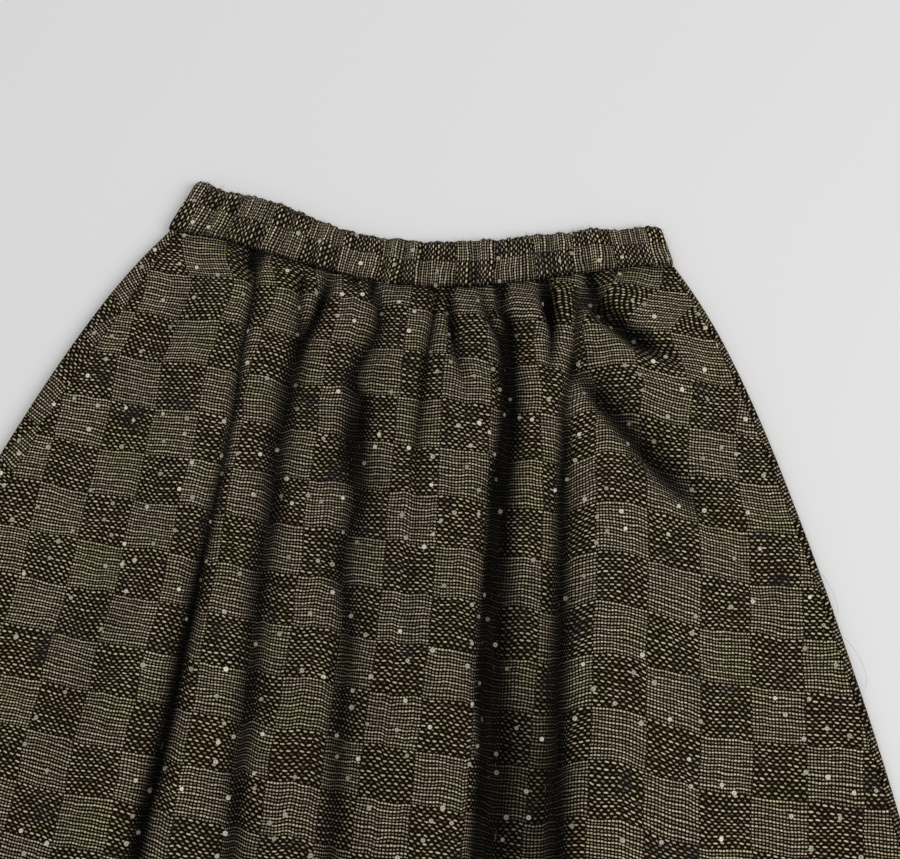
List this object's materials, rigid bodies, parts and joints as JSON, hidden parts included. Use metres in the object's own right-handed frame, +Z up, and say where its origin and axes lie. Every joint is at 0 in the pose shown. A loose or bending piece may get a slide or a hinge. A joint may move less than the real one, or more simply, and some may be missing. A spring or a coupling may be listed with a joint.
{
  "type": "midi skirt",
  "caption": "Gathered A-line midi skirt of checked tweed with an elastic waistband, laid flat.",
  "frame": {"origin": "on the table, under the middle of the skirt", "axes": "+X across the skirt, to the right as it is looked at from above with the waist at the top; +Y from hem to waist; +Z up, out of the front of the skirt"},
  "size_m": [0.7758, 0.749, 0.0129],
  "materials": {
    "tweed": "rough boucle weave",
    "sequins": "pearly"
  },
  "bodies": {
    "root": {"front_panel": "tweed", "back_panel": "tweed", "waistband_front": "tweed", "waistband_back": "tweed"}
  },
  "joints": []
}
